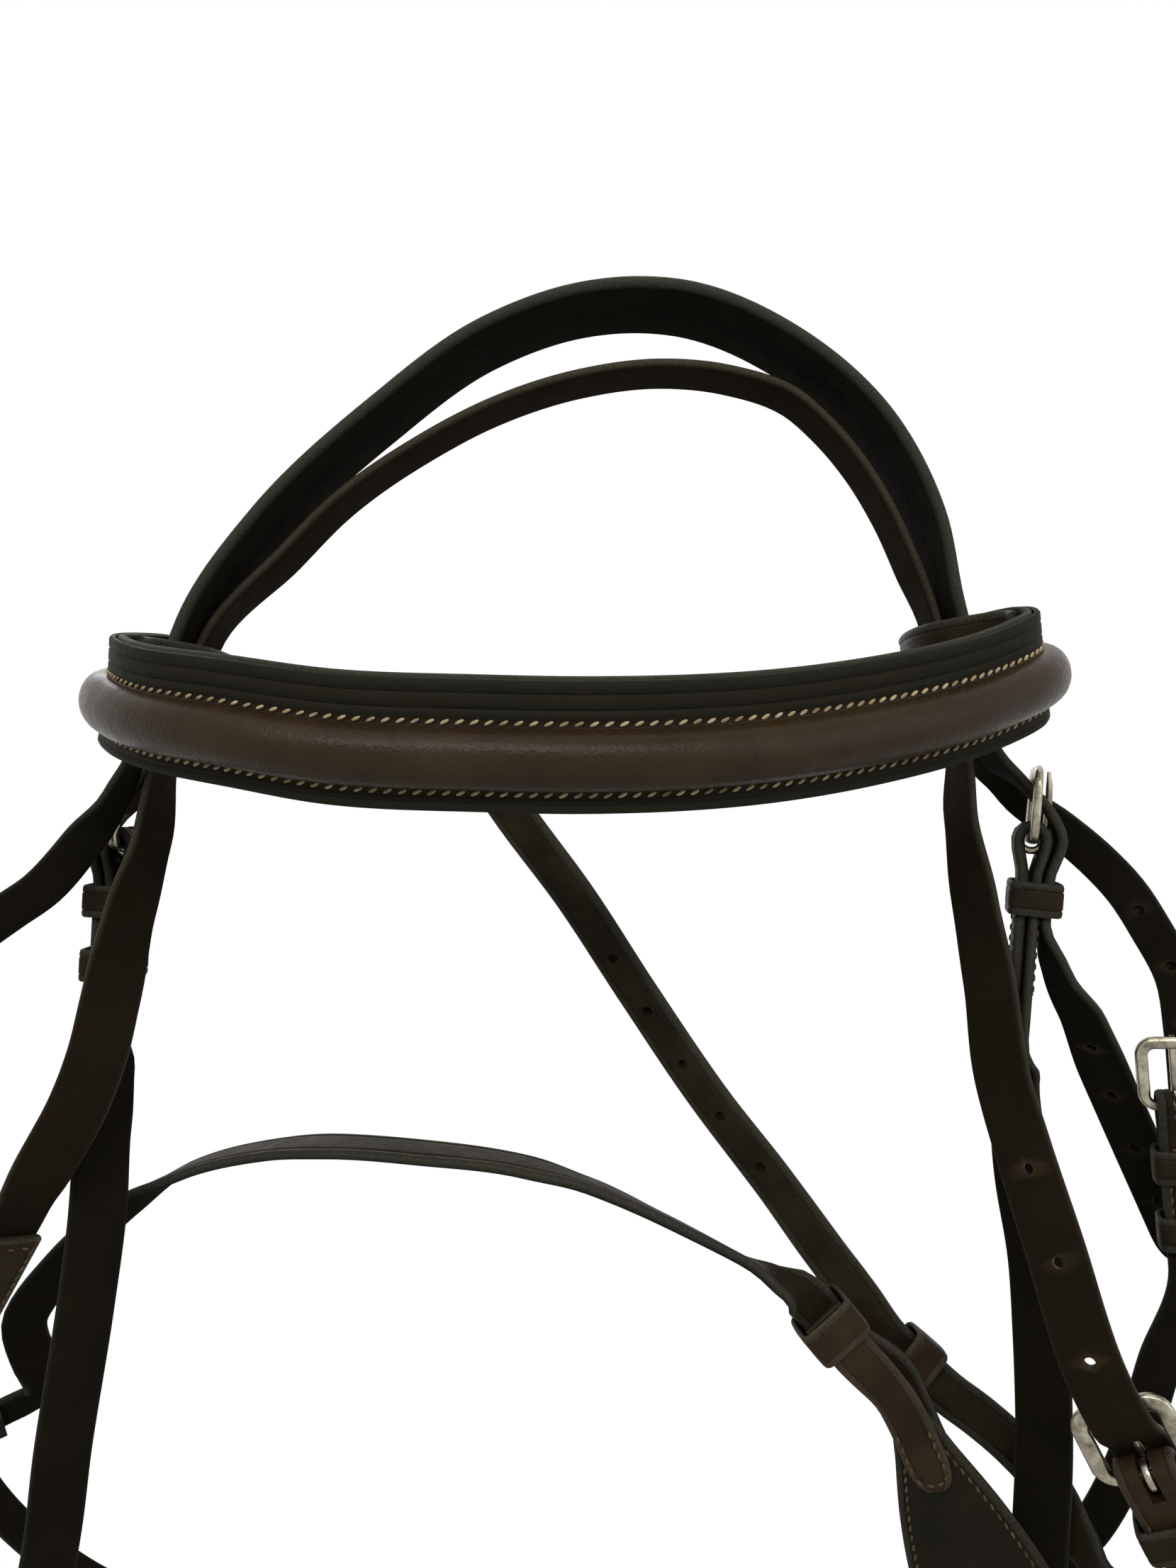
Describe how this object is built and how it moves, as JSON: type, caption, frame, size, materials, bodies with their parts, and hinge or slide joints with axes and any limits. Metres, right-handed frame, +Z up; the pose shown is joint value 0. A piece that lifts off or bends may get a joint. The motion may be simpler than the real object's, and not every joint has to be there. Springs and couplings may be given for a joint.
{
  "type": "figure eight bridle",
  "caption": "Dark brown leather figure eight bridle hanging by its crown, with a padded browband, crossing nose straps, noseband rings, throatlash, cheekpieces and steel buckles.",
  "frame": {"origin": "middle of the underside of the crown, where a hook or bracket carries the bridle", "axes": "+Z up, +X towards the buckled near side (the viewer's right in the picture), +Y away from the viewer, towards the throat"},
  "size_m": [0.4217, 0.2441, 0.5006],
  "materials": {
    "dark_leather": "near-black brown bridle leather, satin",
    "brown_leather": "dark brown bridle leather, satin",
    "padded_leather": "smooth dark brown padded leather, satin with a soft sheen",
    "steel": "satin stainless steel with a warm tone"
  },
  "bodies": {
    "straps": {"headpiece": "dark_leather", "noseband_headstall": "brown_leather", "near_noseband_chape": "brown_leather", "near_cheekpiece": "dark_leather", "near_bit_stud": "steel", "off_cheekpiece": "dark_leather", "off_bit_stud": "steel", "off_nose_strap": "dark_leather", "near_nose_strap": "dark_leather", "jaw_strap_billet": "dark_leather", "jaw_strap": "dark_leather", "nose_pad": "padded_leather", "crossover_tab": "brown_leather", "nose_sleeve_upper": "brown_leather", "nose_sleeve_lower": "brown_leather", "browband_backing": "dark_leather", "browband_padded_cover": "padded_leather", "near_cheek_buckle_frame": "steel", "near_cheek_buckle_tongue": "steel", "off_cheek_buckle_frame": "steel", "off_cheek_buckle_tongue": "steel", "headstall_buckle_frame": "steel", "headstall_buckle_tongue": "steel", "jaw_buckle_frame": "steel", "jaw_buckle_tongue": "steel", "near_cheek_keeper": "dark_leather", "off_cheek_keeper": "dark_leather", "headstall_keeper": "dark_leather", "jaw_keeper": "dark_leather", "chin_keeper": "dark_leather", "throat_keeper": "dark_leather"},
    "throat_buckle": {"throat_buckle_frame": "steel"},
    "throat_tongue": {"throat_buckle_tongue": "steel"},
    "chin_buckle": {"chin_buckle_frame": "steel"},
    "chin_tongue": {"chin_buckle_tongue": "steel"},
    "near_ring": {"near_noseband_ring": "steel"},
    "off_ring": {"off_noseband_ring": "steel"},
    "throat_runner_body": {"throat_runner": "dark_leather"},
    "chin_runner_body": {"chin_runner": "dark_leather"},
    "off_cheek_runner_body": {"off_cheek_runner": "dark_leather"},
    "jaw_runner_body": {"jaw_runner": "dark_leather"}
  },
  "joints": [
    {"name": "throat_buckle_swing", "type": "hinge", "parent": "straps", "child": "throat_buckle", "pos_m": [0.157, -0.01, -0.2295], "axis": [-0.9503, 0.3017, -0.0763], "range_deg": [-90, 30]},
    {"name": "throat_tongue_lift", "type": "hinge", "parent": "throat_buckle", "child": "throat_tongue", "pos_m": [0.157, -0.01, -0.2295], "axis": [-0.9503, 0.3017, -0.0763], "range_deg": [0, 40]},
    {"name": "chin_buckle_swing", "type": "hinge", "parent": "straps", "child": "chin_buckle", "pos_m": [0.097, 0.019, -0.422], "axis": [-0.9796, 0.1999, 0.0201], "range_deg": [-90, 40]},
    {"name": "chin_tongue_lift", "type": "hinge", "parent": "chin_buckle", "child": "chin_tongue", "pos_m": [0.097, 0.019, -0.422], "axis": [-0.9796, 0.1999, 0.0201], "range_deg": [0, 40]},
    {"name": "near_ring_turn", "type": "hinge", "parent": "straps", "child": "near_ring", "pos_m": [0.159, -0.039, -0.364], "axis": [0.3544, 0.9264, 0.1272], "continuous": true},
    {"name": "off_ring_turn", "type": "hinge", "parent": "straps", "child": "off_ring", "pos_m": [-0.22, 0.003, -0.343], "axis": [-0.5737, 0.6326, 0.5202], "continuous": true},
    {"name": "throat_runner_slide", "type": "slide", "parent": "straps", "child": "throat_runner_body", "axis": [-0.08, 0, 0.9968], "range_m": [-0.006, 0.009]},
    {"name": "chin_runner_slide", "type": "slide", "parent": "straps", "child": "chin_runner_body", "axis": [0, 0.1, -0.995], "range_m": [-0.006, 0.009]},
    {"name": "off_cheek_runner_slide", "type": "slide", "parent": "straps", "child": "off_cheek_runner_body", "axis": [0.0499, 0, 0.9988], "range_m": [-0.01, 0.009]},
    {"name": "jaw_runner_slide", "type": "slide", "parent": "straps", "child": "jaw_runner_body", "axis": [0.773, -0.4638, 0.4329], "range_m": [-0.006, 0.009]}
  ]
}
